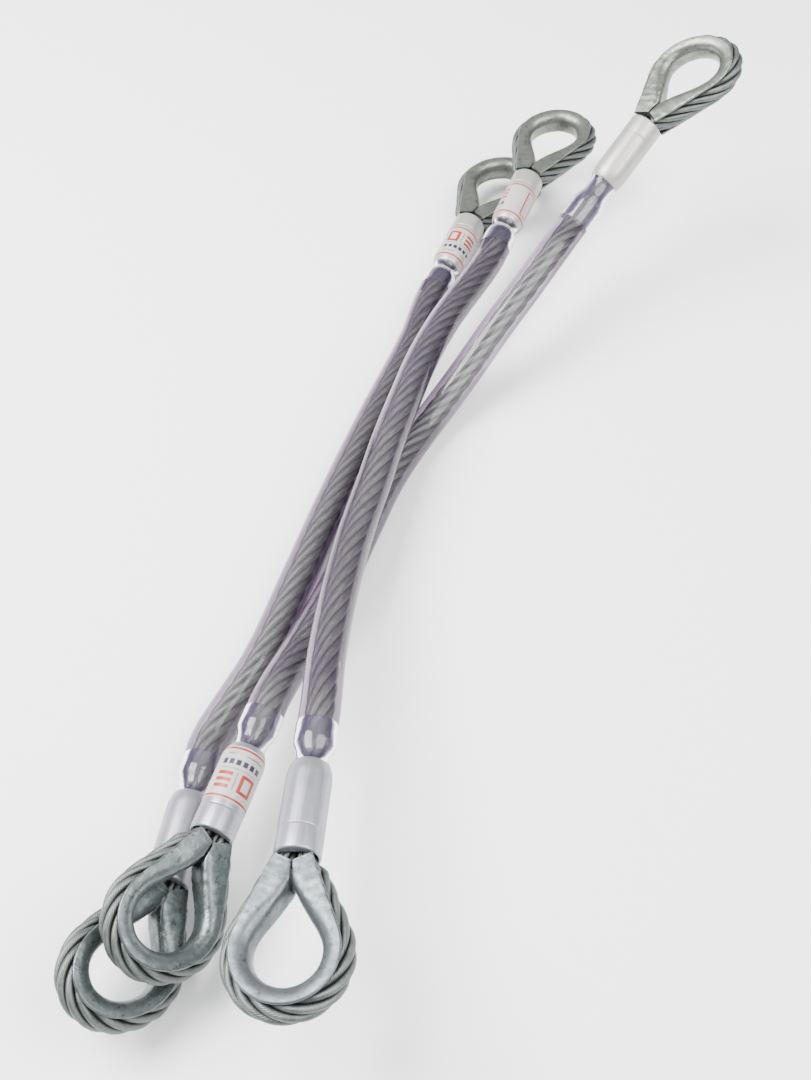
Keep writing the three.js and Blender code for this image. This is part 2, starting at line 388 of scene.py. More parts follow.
def open_group(
    name: str, inputs: tuple[str, ...], outputs: tuple[str, ...]
) -> tuple[Sketch, dict[str, Socket], Inputs]:
    """Opens a new node group.

    Args:
        name: The group's name.
        inputs: Names of the inputs, plain numbers but for the one called Vector.
        outputs: Names of the outputs, all plain numbers.

    Returns:
        A sketch of the group, what it is given, and the sockets that it fills.
    """
    tree = bpy.data.node_groups.new(name, "ShaderNodeTree")
    for key in inputs:
        kind = "NodeSocketVector" if key == "Vector" else "NodeSocketFloat"
        tree.interface.new_socket(key, in_out="INPUT", socket_type=kind)
    for key in outputs:
        tree.interface.new_socket(key, in_out="OUTPUT", socket_type="NodeSocketFloat")
    sketch = Sketch(tree)
    source = sketch.add("NodeGroupInput")
    given = {key: source.outputs[key] for key in inputs}
    return sketch, given, sketch.add("NodeGroupOutput").inputs


@dataclass
class Effects:
    """The shared effects, each a node group that is built once."""

    @cached_property
    def mottle(self) -> Tree:
        """Soft patches of two sizes, for zinc bloom, dust and uneven tone."""
        finer_by, broad_share, widest = 3.7, 0.65, 0.25
        names = ("Vector", "Size", "Sharpness")
        sketch, given, out = open_group("mottle", names, ("Mask", "Height"))
        broad = sketch.noise(given["Vector"], given["Size"], 4.0)
        finer = sketch.noise(given["Vector"], sketch.math("MULTIPLY", given["Size"], finer_by))
        both = sketch.math(
            "ADD",
            sketch.math("MULTIPLY", broad, broad_share),
            sketch.math("MULTIPLY", finer, 1.0 - broad_share),
        )
        softness = sketch.math("SUBTRACT", 1.0, given["Sharpness"])
        reach = sketch.math("MULTIPLY", softness, widest)
        low, high = sketch.math("SUBTRACT", 0.5, reach), sketch.math("ADD", 0.5, reach)
        sketch.feed(out["Mask"], sketch.ramp(both, low, high))
        sketch.feed(out["Height"], both)
        return sketch.tree

    @cached_property
    def scratches(self) -> Tree:
        """Fine marks drawn out along one direction."""
        names = ("Around", "Along", "Fine", "Drawn")
        sketch, given, out = open_group("scratches", names, ("Mask", "Height"))
        turn = sketch.math("MULTIPLY", given["Around"], 2 * math.pi)
        spread = sketch.add("ShaderNodeCombineXYZ", {
            0: sketch.math("MULTIPLY", sketch.math("COSINE", turn), given["Fine"]),
            1: sketch.math("MULTIPLY", sketch.math("SINE", turn), given["Fine"]),
            2: sketch.math("MULTIPLY", given["Along"], given["Drawn"]),
        })
        marks = sketch.noise(spread.outputs[0], 1.0, 4.0)
        sketch.feed(out["Mask"], sketch.ramp(marks, 0.45, 0.72))
        sketch.feed(out["Height"], marks)
        return sketch.tree

    @cached_property
    def printed_block(self) -> Tree:
        """A filled rectangle of print, on a surface rolled out flat."""
        names = ("Around", "Along", "Middle Around", "Middle Along", "Half Around", "Half Along")
        sketch, given, out = open_group("printed_block", names, ("Mask",))
        reach = []
        for way in ("Around", "Along"):
            off = sketch.math("SUBTRACT", given[way], given[f"Middle {way}"])
            away = sketch.math("ABSOLUTE", off)
            reach.append(sketch.math("SUBTRACT", away, given[f"Half {way}"]))
        nearest = sketch.math("MAXIMUM", reach[0], reach[1])
        sketch.feed(out["Mask"], sketch.ramp(nearest, -0.002, 0.004, 1.0, 0.0))
        return sketch.tree


EFFECTS = Effects()


@dataclass(frozen=True)
class Finish:
    """A material with a principled shader.

    Attributes:
        name: Name of the material.
        colour: Base colour.
        roughness: Plain roughness.
        metallic: Plain metallic.
    """

    name: str
    colour: Colour
    roughness: float = 0.4
    metallic: float = 0.0

    def build(self) -> bpy.types.Material:
        """Makes the material and lets the finish add its own detail.

        Returns:
            The material.
        """
        material = bpy.data.materials.new(self.name)
        material.use_nodes = True
        sketch = Sketch(material.node_tree)
        shader = material.node_tree.nodes["Principled BSDF"]
        shader.inputs["Base Color"].default_value = (*self.colour, 1.0)
        shader.inputs["Roughness"].default_value = self.roughness
        shader.inputs["Metallic"].default_value = self.metallic
        surface = self.detail(sketch)
        if surface is not None:
            colour, rough, height, depth = surface
            bump = {"Strength": 1.0, "Distance": depth * MM, "Height": height}
            sketch.feed(shader.inputs["Base Color"], colour)
            sketch.feed(shader.inputs["Roughness"], rough)
            node = sketch.add("ShaderNodeBump", bump)
            sketch.feed(shader.inputs["Normal"], node.outputs["Normal"])
        return material

    def detail(self, sketch: Sketch) -> Surface | None:
        """Surface of the finish, or None where it is plain."""
        return None


@dataclass(frozen=True)
class StrandSteel(Finish):
    """Galvanised wires laid up in strands, with painted shade in the valleys between strands and in
    the gaps between wires.

    Attributes:
        wires: Wires seen across one strand.
        slant: Strand widths that a wire crosses in a centimetre.
        valley_shade: Colour of the painted shade down between the strands and between the wires.
        relief: Height of the wires.
    """

    wires: float = 6.0
    slant: float = 1.75
    valley_shade: Colour = (0.035, 0.04, 0.037)
    relief: float = 0.09

    def detail(self, sketch: Sketch) -> Surface:
        """Draws wires, painted shade in the valleys and between the wires, and patches of dull
        zinc.

        Args:
            sketch: Where the nodes go.

        Returns:
            Colour, roughness, height and its depth in millimetres.
        """
        around, along = sketch.lay
        across = sketch.math("SUBTRACT", sketch.math("FRACT", around), 0.5)
        edge = sketch.math("MULTIPLY", sketch.math("ABSOLUTE", across), 2.0)
        phase = sketch.math("ADD", around, sketch.math("MULTIPLY", along, self.slant))
        wave = sketch.math("SINE", sketch.math("MULTIPLY", phase, math.pi * self.wires))
        wire = sketch.math("ABSOLUTE", wave)
        patches = sketch.mottle(size=260.0, sharpness=0.2)
        dull = sketch.mix(patches["Mask"], shade(self.colour, 0.72), shade(self.colour, 1.15))
        # Painted shade: the gaps between wires take some of the dark valley colour, and the valleys
        # between strands take all of it.
        wires = sketch.mix(sketch.ramp(wire, 0.0, 0.45, 0.62, 1.0), shade(self.valley_shade), dull)
        colour = sketch.mix(sketch.ramp(edge, 0.62, 1.0), wires, shade(self.valley_shade))
        rough = sketch.vary(patches["Height"], self.roughness - 0.08, self.roughness + 0.12)
        return colour, rough, sketch.math("POWER", wire, 0.6), self.relief


@dataclass(frozen=True)
class DippedZinc(Finish):
    """Hot-dip zinc: cloudy, faintly spangled, with small runs and pits.

    Attributes:
        lumps: Depth of the uneven coating.
        tint: Colour of the darker bloom.
    """

    lumps: float = 0.25
    tint: Colour = (0.3, 0.34, 0.33)

    def detail(self, sketch: Sketch) -> Surface:
        """Draws bloom, spangle, pits and an uneven coat.

        Args:
            sketch: Where the nodes go.

        Returns:
            Colour, roughness, height and its depth in millimetres.
        """
        bloom = sketch.mottle(size=90.0, sharpness=0.15)
        pits = sketch.mottle(size=420.0, sharpness=0.55)
        cells = {"Vector": sketch.place, "Scale": 330.0, "Randomness": 1.0}
        spangle = sketch.add("ShaderNodeTexVoronoi", cells).outputs["Color"]
        flake = sketch.add("ShaderNodeSeparateColor", {0: spangle}).outputs[0]
        tone = sketch.mix(bloom["Mask"], shade(self.tint), shade(self.colour))
        bright = sketch.ramp(flake, 0.0, 1.0, 0.0, 0.35)
        flakes = sketch.mix(bright, tone, shade(self.colour, 1.25))
        speck = sketch.ramp(pits["Height"], 0.56, 0.66, 0.0, 0.7)
        colour = sketch.mix(speck, flakes, shade(self.tint, 0.45))
        rough = sketch.math("ADD", sketch.vary(bloom["Height"], 0.1, -0.1), self.roughness)
        small = sketch.math("MULTIPLY", pits["Height"], 0.35)
        return colour, rough, sketch.math("ADD", bloom["Height"], small), self.lumps


@dataclass(frozen=True)
class SatinAluminium(Finish):
    """Pressed aluminium: satin, drawn marks along it, a few rubbed patches.

    Attributes:
        relief: Height of the marks.
    """

    relief: float = 0.06

    def detail(self, sketch: Sketch) -> Surface:
        """Draws marks, rubs and a soft unevenness.

        Args:
            sketch: Where the nodes go.

        Returns:
            Colour, roughness, height and its depth in millimetres.
        """
        marks = sketch.scratches(fine=9.0, drawn=0.6)
        rubs = sketch.mottle(size=120.0, sharpness=0.2)
        tone = sketch.mix(rubs["Mask"], shade(self.colour, 0.9), shade(self.colour, 1.06))
        worn = sketch.math("MULTIPLY", marks["Mask"], 0.3)
        colour = sketch.mix(worn, tone, shade(self.colour, 0.68))
        rough = sketch.math("ADD", sketch.vary(marks["Height"], -0.06, 0.1), self.roughness)
        return colour, rough, sketch.math("ADD", marks["Height"], rubs["Height"]), self.relief


@dataclass(frozen=True)
class ClearPlastic(Finish):
    """Soft clear plastic with rubs, a slight ripple, and painted shade where its wall is seen edge
    on and near its cut ends.

    Attributes:
        ior: How strongly it bends light.
        ripple: Depth of the ripple.
        milk: Share that is cloudy instead of clear.
        edge: Deeper colour where the wall is seen edge on: painted shade standing in for the longer
            path of light through the tinted wall.
        cut: How far the deeper colour shows in from a cut end, in centimetres: painted shade
            standing in for light's long path along the wall at the cut.
        gloss: Weight of the clear surface layer.
        gloss_roughness: Roughness of that layer.
        turning: Where the deeper colour starts and is full, from face on to edge on.
    """

    ior: float = 1.17
    ripple: float = 0.05
    milk: float = 0.04
    edge: Colour = (0.25, 0.185, 0.27)
    cut: float = 0.0
    gloss: float = 0.5
    gloss_roughness: float = 0.13
    turning: tuple[float, float] = (0.1, 0.38)

    def build(self) -> bpy.types.Material:
        """Makes the material and lets light through it.

        Returns:
            The material.
        """
        material = super().build()
        shader = material.node_tree.nodes["Principled BSDF"]
        shader.inputs["Transmission Weight"].default_value = 1.0 - self.milk
        shader.inputs["IOR"].default_value = self.ior
        shader.inputs["Coat Weight"].default_value = self.gloss
        shader.inputs["Coat Roughness"].default_value = self.gloss_roughness
        return material

    def detail(self, sketch: Sketch) -> Surface:
        """Draws rubs and cloudy patches, with painted shade at the edges and the cut ends.

        Args:
            sketch: Where the nodes go.

        Returns:
            Colour, roughness, height and its depth in millimetres.
        """
        rubs = sketch.scratches(fine=2.5, drawn=0.5)
        cloud = sketch.mottle(size=60.0, sharpness=0.1)
        body = sketch.mix(cloud["Mask"], shade(self.colour, 0.96), shade(self.colour, 1.03))
        # Painted shade: the colour deepens toward the edge colour where the wall is seen edge on
        # and near a cut end, standing in for light's longer path through the tinted plastic.
        facing = sketch.add("ShaderNodeLayerWeight", {"Blend": 0.5}).outputs["Facing"]
        deeper = sketch.ramp(facing, *self.turning)
        if self.cut:
            from_cut = sketch.ramp(sketch.lay[1], 0.0, self.cut, 1.0, 0.0)
            deeper = sketch.math("MAXIMUM", deeper, from_cut)
        colour = sketch.mix(deeper, body, shade(self.edge))
        rough = sketch.ramp(rubs["Height"], 0.35, 0.7, self.roughness, self.roughness + 0.05)
        return colour, rough, sketch.math("ADD", rubs["Height"], cloud["Height"]), self.ripple


@dataclass(frozen=True)
class PrintedFilm(Finish):
    """A pale label film with plain printed blocks, rules and hand-made dashes.

    Print is placed by boxes: middle and half size, round the film and then along it.

    Attributes:
        ink: Colour of the blocks and rings.
        pen: Colour of the dashes.
        rule: Colour of the thin rules.
        relief: Height of the grime.
    """

    ink: Colour = (0.27, 0.012, 0.006)
    pen: Colour = (0.012, 0.012, 0.035)
    rule: Colour = (0.16, 0.19, 0.18)
    relief: float = 0.08

    def blocks(self, sketch: Sketch, boxes: list[Box]) -> Value:
        """Joins printed rectangles into one mask.

        Args:
            sketch: Where the nodes go.
            boxes: Middle and half size of each, round then along.

        Returns:
            The mask.
        """
        names = ("Around", "Along", "Middle Around", "Middle Along", "Half Around", "Half Along")
        total: Value = 0.0
        for box in boxes:
            block = sketch.group(EFFECTS.printed_block, dict(zip(names, (*sketch.lay, *box))))
            total = sketch.math("MAXIMUM", total, block["Mask"])
        return total

    def red_boxes(self) -> list[Box]:
        """Rings, a hollow square with three stripes, and two empty panels.

        Returns:
            The boxes.
        """
        boxes = [(0.5, end, 0.6, 0.018) for end in (0.05, 0.95)]
        boxes += [(side, 0.65, 0.013, 0.16) for side in (0.365, 0.455)]
        boxes += [(0.41, end, 0.054, 0.028) for end in (0.51, 0.79)]
        boxes += [(0.59, middle, 0.056, 0.032) for middle in (0.53, 0.65, 0.77)]
        for panel in (0.9, 0.13):
            boxes += [(panel + edge, 0.5, 0.006, 0.36) for edge in (-0.05, 0.05)]
            boxes += [(panel, end, 0.056, 0.012) for end in (0.14, 0.86)]
        return boxes

    def detail(self, sketch: Sketch) -> Surface:
        """Prints the film and makes it a little grubby.

        Args:
            sketch: Where the nodes go.

        Returns:
            Colour, roughness, height and its depth in millimetres.
        """
        dashes = [(0.37 + 0.052 * k, 0.31, 0.017, 0.05) for k in range(6)]
        rules = [(0.5, 0.43, 0.14, 0.008), (0.5, 0.65, 0.005, 0.16)]
        rules += [(0.42, 0.16, 0.07, 0.016), (0.6, 0.16, 0.03, 0.016)]
        grime = sketch.mottle(size=150.0, sharpness=0.2)
        colour = sketch.mix(grime["Mask"], shade(self.colour, 0.9), shade(self.colour, 1.04))
        prints = ((rules, self.rule), (dashes, self.pen), (self.red_boxes(), self.ink))
        for boxes, ink in prints:
            colour = sketch.mix(self.blocks(sketch, boxes), colour, shade(ink))
        rough = sketch.vary(grime["Height"], self.roughness - 0.06, self.roughness + 0.1)
        return colour, rough, grime["Height"], self.relief


@dataclass
class Palette:
    """The finishes of the slings, each built once."""

    rope: Finish = StrandSteel("strand_steel", (0.125, 0.137, 0.131), 0.4, 0.75)
    zinc_pale: Finish = DippedZinc(
        "zinc_pale", (0.125, 0.136, 0.146), 0.4, 0.75, tint=(0.072, 0.086, 0.086)
    )
    zinc_dark: Finish = DippedZinc(
        "zinc_dark", (0.128, 0.147, 0.147), 0.34, 0.8, lumps=0.4, tint=(0.062, 0.077, 0.074)
    )
    zinc_warm: Finish = DippedZinc(
        "zinc_warm", (0.2, 0.21, 0.19), 0.34, 0.8, tint=(0.11, 0.12, 0.1)
    )
    ferrule_cool: Finish = SatinAluminium("ferrule_cool", (0.3, 0.3, 0.335), 0.38, 0.75)
    ferrule_warm: Finish = SatinAluminium("ferrule_warm", (0.4, 0.39, 0.37), 0.42, 0.6)
    # The sleeve's and collar's edge colours and the sleeve's cut band are painted shade.
    sleeve: Finish = ClearPlastic(
        "sleeve_plastic", (0.8, 0.75, 0.79), 0.03, ripple=0.03, milk=0.05, cut=0.5
    )
    collar: Finish = ClearPlastic(
        "collar_plastic", (0.86, 0.84, 0.89), 0.04, ripple=0.05, edge=(0.3, 0.24, 0.4)
    )
    label: Finish = PrintedFilm("label_print", (0.42, 0.385, 0.37), 0.42)
    made: dict[str, bpy.types.Material] = field(default_factory=dict)

    def dress(self, piece: Piece, finish: Finish) -> None:
        """Gives a piece its material, building the material the first time it is needed.

        Args:
            piece: The piece.
            finish: Its finish.
        """
        if finish.name not in self.made:
            self.made[finish.name] = finish.build()
        piece.data.materials.append(self.made[finish.name])


# ---- where things are ----------------------------------------------------------------


@dataclass(frozen=True)
class EyeShape:
    """Sizes of the rope's eye, in the end's own frame.

    The origin is the middle of the ferrule's mouth, +X runs to the eye and +Z
    is across the thimble's thickness.
    """

    ferrule_length: float = 37.0
    centre: float = 71.8
    radius: float = 18.5
    leg_spread: float = 4.75
    dead_end: float = 14.0
    pressed_width: float = 0.74
    pressed_height: float = 0.88
    thimble_start: float = 38.6

    @cached_property
    def slope(self) -> float:
        """Angle between a straight leg of the eye and the axis."""
        ahead = self.centre - self.ferrule_length
        reach = math.hypot(ahead, self.leg_spread)
        return math.asin(self.radius / reach) - math.atan2(self.leg_spread, ahead)

    def arc(self) -> list[Point]:
        """Points of the rounded part, from the +Y side to the -Y side.

        Returns:
            The points, evenly spaced.
        """
        first = math.pi / 2 + self.slope
        turns = [first * (1 - step / 8) for step in range(17)]
        radius = self.radius
        return [(self.centre + radius * math.cos(a), radius * math.sin(a), 0.0) for a in turns]

    def leg(self, side: int) -> list[Point]:
        """Two points of a straight leg, from the ferrule outwards.

        Args:
            side: 1 for the live leg, -1 for the dead one.

        Returns:
            The points.
        """
        rise, slack = math.tan(self.slope), 0.25
        return [
            (self.ferrule_length + ahead, side * (self.leg_spread + ahead * rise - slack), 0.0)
            for ahead in (8, 15.5)
        ]

    def rope_points(self) -> np.ndarray:
        """The rope's centre line from its cut end round the eye to the mouth.

        Returns:
            Points for the curve to pass through.
        """
        legs = {}
        for side in (-1, 1):
            gripped = [(self.ferrule_length - back, side * self.leg_spread, 0.0) for back in (9, 0)]
            legs[side] = gripped + self.leg(side)
        cut_end = (self.dead_end, -self.leg_spread, 0.0)
        to_mouth = [(13.5, self.leg_spread, 0.0), (6.5, 2.7, 0.0), (1.0, 0.9, 0.0)]
        return np.array([cut_end, *legs[-1], *self.arc()[::-1], *legs[1][::-1], *to_mouth])

    def thimble_points(self) -> np.ndarray:
        """The line that the thimble's channel follows.

        Returns:
            Points from one tip to the other.
        """
        ahead = self.thimble_start - self.ferrule_length
        start_y = self.leg_spread + ahead * math.tan(self.slope)
        arc = self.arc()
        start = np.array((self.thimble_start, start_y, 0.0))
        half = (start + np.array(arc[0])) / 2
        mirror = np.array((1, -1, 1))
        return np.vstack([start, half, arc, half * mirror, start * mirror])


EYE = EyeShape()


@dataclass(frozen=True)
class EndPlace:
    """Where an end of a sling lies.

    Attributes:
        mouth: Middle of the ferrule's mouth.
        heading: Direction of the axis in plan, in degrees from +X.
        tilt: How far the axis climbs, in degrees.
        roll: How far the eye turns about the axis, in degrees.
        cant: How far the eye leans sideways, as a share of the way past the ferrule.
    """

    mouth: Point
    heading: float
    tilt: float
    roll: float
    cant: float

    @cached_property
    def matrix(self) -> np.ndarray:
        """From the end's own frame to the row frame, in millimetres."""
        turn = (
            Matrix.Rotation(math.radians(self.heading), 4, "Z")
            @ Matrix.Rotation(-math.radians(self.tilt), 4, "Y")
            @ Matrix.Rotation(math.radians(self.roll), 4, "X")
        )
        return np.array(Matrix.Translation(self.mouth) @ turn)

    def lean(self, points: np.ndarray, sign: int) -> np.ndarray:
        """Adds the cant to points in the end's own frame, or takes it off.

        Args:
            points: Points in the end's own frame.
            sign: 1 to add the cant, -1 to take it off.

        Returns:
            The points moved sideways.
        """
        leaned = np.array(points, float)
        leaned[..., 1] += sign * self.cant * np.maximum(leaned[..., 0] - EYE.ferrule_length, 0.0)
        return leaned

    def out(self, points: np.ndarray | list[Point]) -> np.ndarray:
        """Takes points from the end's own frame to the row frame."""
        return self.lean(points, 1) @ self.matrix[:3, :3].T + self.matrix[:3, 3]

    def home(self, points: np.ndarray) -> np.ndarray:
        """Takes points from the row frame to the end's own frame."""
        return self.lean((points - self.matrix[:3, 3]) @ self.matrix[:3, :3], -1)

    def on_axis(self, along: float) -> np.ndarray:
        """A point on the axis, ahead of the mouth or behind it."""
        return self.out([(along, 0.0, 0.0)])[0]

    def metres(self, along: float) -> Point:
        """A point on the axis in metres."""
        return tuple(float(value) * MM for value in self.on_axis(along))


@dataclass(frozen=True)
class Plan:
    """How one sling lies.

    Attributes:
        name: Letter of the sling.
        lower: Its near end.
        upper: Its far end.
        route: The rope's centre line between the two necks.
        bend: Where the long part flexes, as a share of its length.
        label: Which ferrule carries the label.
        label_turn: Where the print faces, in degrees about the axis.
    """

    name: str
    lower: EndPlace
    upper: EndPlace
    route: tuple[Point, ...]
    bend: float
    label: Which
    label_turn: float

    def end(self, which: Which) -> EndPlace:
        """The place of one end."""
        return self.lower if which is Which.LOWER else self.upper

    def collar(self, which: Which) -> "Collar":
        """The collar at one end.

        Args:
            which: The end that is meant.

        Returns:
            The collar.
        """
        if which is Which.LOWER:
            return LOWER_COLLAR
        return UPPER_COLLAR if self.name == "b" else CLOSE_COLLAR

    def flexes_at_neck(self, piece: Piece, which: Which) -> None:
        """Bakes a piece's placement into its mesh; where the neck would flex is worked out but not
        used.

        Args:
            piece: The piece.
            which: The end that is meant.
        """
        end, stem = self.end(which), f"{self.name}_{which.value}"
        start = end.metres(-self.collar(which).flex_from)
        end.metres(0.0)
        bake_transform(piece)


PLANS = (
    Plan(
        "a",
        EndPlace((-107.7, -155.7, 10.2), -98.7, 4.6, -35, -0.2),
        EndPlace((-3, 150.8, 9.7), 68.2, 2.8, 0, -0.15),
        ((-85.8, -91.7, 8), (-72.3, -50.6, 8), (-58, -5.5, 8), (-40.8, 44.1, 8), (-20.3, 99, 8)),
        0.42, Which.UPPER, 109.9,
    ),
    Plan(
        "b",
        EndPlace((-85.6, -143, 24.2), -107.1, 2, -35, -0.1),
        EndPlace((75.2, 156.4, 61), 48, 27, -9, -0.13),
        ((-66.8, -87.1, 14.8), (-54.2, -54, 9.8), (-42.8, -20.4, 8.1), (-32.8, 6, 8.2),
         (-21, 29.5, 8.2), (-7.8, 50.2, 10.8), (6, 68.2, 18.6), (19.4, 85, 28.5),
         (34.4, 103.4, 38), (48.9, 122.6, 46)),
        0.47, Which.LOWER, 108.9,
    ),
    Plan(
        "c",
        EndPlace((-58.9, -160.9, 47), -94.8, 6.1, 10, 0.06),
        EndPlace((28.4, 166.9, 25), 68, 5.6, -4, -0.1),
        ((-55.8, -110, 38.6), (-53.8, -88.6, 35), (-50.8, -66.3, 31.6), (-46.5, -41.4, 28.6),
         (-39, -11.4, 27.2), (-32.5, 14.5, 27.2), (-25, 40, 27), (-16.6, 66.8, 26.4),
         (-4.9, 95.6, 25.2)),
        0.52, Which.UPPER, 11.3,
    ),
)


# ---- the rope ------------------------------------------------------------------------


@dataclass
class Rope:
    """The wire rope of one sling, from one cut end to the other.

    Attributes:
        plan: How the sling lies.
        radius: Half the rope's diameter.
        strands: Strands round the core.
        lay: Length in which a strand goes once round the rope.
        step: Distance between rings of the mesh.
        pivot: From a ferrule's mouth back to where the neck flexes.
        neck: From a ferrule's mouth back to where the long part starts.
        flex: Half the length over which the long part flexes.
    """

    plan: Plan
    radius: float = 4.5
    strands: int = 6
    lay: float = 56.0
    step: float = 0.85
    pivot: float = 5.0
    neck: float = 15.0
    flex: float = 60.0

    @cached_property
    def line(self) -> Line:
        """The whole centre line, from the lower cut end to the upper one."""
        lower, upper = self.plan.lower, self.plan.upper
        eye = EYE.rope_points()
        backs = (self.pivot, 13.0, 26.0)
        points = [
            *lower.out(eye),
            *(lower.on_axis(-back) for back in backs),
            *np.array(self.plan.route, float),
            *(upper.on_axis(-back) for back in reversed(backs)),
            *upper.out(eye[::-1]),
        ]
        return Line(spline(np.array(points, float), 0.3))

    def station(self, point: np.ndarray) -> float:
        """Distance along the rope of the place nearest a point."""
        gaps = np.linalg.norm(self.line.points - point, axis=1)
        return float(self.line.along[int(gaps.argmin())])

    def at_end(self, which: Which, along: float) -> float:
        """Distance along the rope of a point on an end's axis."""
        return self.station(self.plan.end(which).on_axis(along))

    @cached_property
    def bend(self) -> float:
        """Distance along the rope of the place where the long part flexes."""
        first, last = (self.at_end(which, -self.pivot) for which in Which)
        return first + (last - first) * self.plan.bend

    def section(self) -> tuple[np.ndarray, np.ndarray, np.ndarray]:
        """Angles, radii and strand coordinates round the rope's outline.

        Returns:
            The three, point by point, the closing coordinate added.
        """
        strand = self.radius / 3
        reach = 2 * strand
        offsets = np.radians([-30, -24, -15, -5, 5, 15, 24])
        drop = np.maximum(strand**2 - (reach * np.sin(offsets)) ** 2, 0.0)
        radii = np.maximum(reach * np.cos(offsets) + np.sqrt(drop), self.radius * 0.64)
        pitch = 2 * math.pi / self.strands
        angles = np.concatenate([offsets + pitch * k for k in range(self.strands)])
        shares = np.concatenate([(np.degrees(offsets) + 30) / 60 + k for k in range(self.strands)])
        return angles, np.tile(radii, self.strands), np.append(shares, float(self.strands))

    def pressed(self, points: np.ndarray, end: EndPlace) -> np.ndarray:
        """Squeezes the two legs where the ferrule grips them.

        Args:
            points: Points of the rope.
            end: Where the end lies.

        Returns:
            The points squeezed.
        """
        local = end.home(points)
        grip = smoothstep(local[..., 0], 0, 5) * (1 - smoothstep(local[..., 0], 38, 43))
        local[..., 1] *= 1 - (1 - EYE.pressed_width) * grip
        local[..., 2] *= 1 - (1 - EYE.pressed_height) * grip
        return end.out(local)

    def stretch(self, name: str, start: float, stop: float, end: EndPlace | None = None) -> Piece:
        """Makes the rope between two distances along it.

        Args:
            name: Name of the piece.
            start: Distance of its first ring.
            stop: Distance of its last ring.
            end: The end whose ferrule grips it.

        Returns:
            The piece.
        """
        count = max(3, round((stop - start) / self.step))
        stations = np.linspace(start, stop, count)
        angles, radii, shares = self.section()
        turn = 2 * math.pi * stations / self.lay
        angles = angles[None] + turn[:, None]
        rings = self.line.rings(stations, np.tile(radii, (count, 1)), angles)
        if end is not None:
            rings = self.pressed(rings, end)
        return Skin(name, rings, stations / 10, shares, crease=75).build()

    def build(self, palette: Palette) -> None:
        """Makes the eyes, the necks and the long part, and hangs each eye on its end.

        Args:
            palette: The finishes.
        """
        cuts = []
        for which in Which:
            end = self.plan.end(which)
            stem = f"{self.plan.name}_{which.value}"
            tip = 0.0 if which is Which.LOWER else self.line.length
            mouth, neck = self.at_end(which, 0.0), self.at_end(which, -self.neck)
            cuts.append(neck)
            eye = self.stretch(f"{stem}_eye_laid_rope", *sorted((tip, mouth)), end)
            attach(eye, f"{stem}_end")
            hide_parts(f"{stem}_eye_rope")
            neck_rope = self.stretch(f"{stem}_neck_laid_rope", *sorted((mouth, neck)), end)
            self.plan.flexes_at_neck(neck_rope, which)
            for piece in (eye, neck_rope):
                palette.dress(piece, palette.rope)
        self.long_part(palette, *cuts)

    def long_part(self, palette: Palette, start: float, stop: float) -> None:
        """Args:
            palette: The finishes.
            start: Distance along the rope of its lower end.
            stop: Distance along the rope of its upper end.
        """
        name = self.plan.name
        rope = self.stretch(f"{name}_long_laid_rope", start, stop)
        stations = np.linspace(start, stop, round((stop - start) / 5))
        path = [tuple(map(float, point)) for point in self.line.centres(stations) * MM]
        self.flexes(rope)
        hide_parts(f"{name}_lower_rope", f"{name}_upper_rope")
        palette.dress(rope, palette.rope)
        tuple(path[0])

    def flexes(self, piece: Piece) -> None:
        """Bakes a long piece's placement into its mesh; the span where it would flex is worked out
        but not used.

        Args:
            piece: The piece.
        """
        span = np.array([self.bend - self.flex, self.bend + self.flex])
        start, end = self.line.centres(span) * MM
        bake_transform(piece)


# ---- the clear sleeve and its collars ------------------------------------------------


@dataclass(frozen=True)
class Collar:
    """A clear film shrunk from the sleeve's end down to the ferrule's mouth.

    Attributes:
        sleeve_end: From the mouth back to the sleeve's cut end.
        overlap: How far the film runs over the sleeve.
        flex_from: From the mouth back to where the neck starts to flex.
        waist: Radius where the film is narrowest.
        outer: Radius over the sleeve.
        film: Thickness over the sleeve.
    """

    sleeve_end: float
    overlap: float
    flex_from: float
    waist: float = 6.3
    outer: float = 8.2
    film: float = 0.2
    sides: int = 56

    def profile(self) -> np.ndarray:
        """Outline as pairs of distance back from the mouth and radius.

        Returns:
            The outline, closed.
        """
        end, waist, outer = self.sleeve_end, self.waist, self.outer
        tail = end + self.overlap
        inner = outer - self.film
        outside = [
            (-0.6, 7.15), (0.4, 6.8), (1.6, waist + 0.12), (3.0, waist), (end * 0.5, waist + 0.1),
            (end * 0.68, waist + 0.6), (end * 0.84, waist + 1.5), (end - 0.2, outer - 0.22),
            (end + 1.0, outer), (end + 3.0, outer - 0.03), (tail - 2.5, outer - 0.02),
            (tail - 0.6, outer + 0.02), (tail, outer - 0.06),
        ]
        inside = [
            (tail, inner), (end + 1.0, inner), (end - 0.25, inner - 0.1), (end * 0.84, waist + 1.1),
            (end * 0.68, waist + 0.2), (end * 0.5, waist - 0.3), (3.0, waist - 0.4),
            (1.6, waist - 0.3), (0.4, waist), (-0.4, waist + 0.3),
        ]
        return np.array(outside + inside)

    def build(self, name: str, end: EndPlace) -> Piece:
        """Turns the outline about the end's axis.

        Args:
            name: Name of the piece.
            end: Where the end lies.

        Returns:
            The piece.
        """
        profile = self.profile() * (-1, 1)
        if signed_area(profile) < 0:
            profile = profile[::-1]
        rings = turned(profile, circle(self.sides))
        return Skin(name, end.out(rings), profile[:, 0] / 10, looped=True).build()


def turned(profile: np.ndarray, angles: np.ndarray) -> np.ndarray:
    """Rings of points of an outline turned about an end's axis.

    Args:
        profile: Pairs of distance along the axis and radius.
        angles: Angle of each point about the axis.

    Returns:
        Points in the end's own frame, ring by ring.
    """
    along, radius = profile[:, 0, None], profile[:, 1, None]
    along = np.broadcast_to(along, (len(profile), len(angles)))
    return np.stack([along, radius * np.cos(angles), radius * np.sin(angles)], axis=-1)


